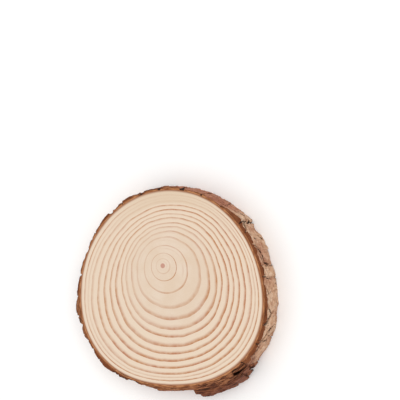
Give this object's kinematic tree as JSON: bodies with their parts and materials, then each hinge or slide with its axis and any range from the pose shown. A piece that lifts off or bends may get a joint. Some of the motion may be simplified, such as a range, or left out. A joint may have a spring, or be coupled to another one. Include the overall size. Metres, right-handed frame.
{
  "type": "wood slice",
  "caption": "Round slice sawn across a young conifer stem: pale ringed end grain on both flat faces, rough brown bark round the rim.",
  "frame": {"origin": "under the middle of the bounding box, on the lower cut face", "axes": "+Z is the stem's direction, through the thickness and out of the upper cut face; the thick chunk of bark is towards -Y and +X, and the pith lies off centre towards +Y and -X"},
  "size_m": [0.1038, 0.104, 0.014],
  "materials": {
    "wood": "sanded end grain, pale cream with tan growth rings, unvarnished",
    "bark": "rough flaking conifer bark, tan-brown plates over red-brown layers, matt"
  },
  "bodies": {
    "root": {"wood_slice": "wood"}
  },
  "joints": []
}
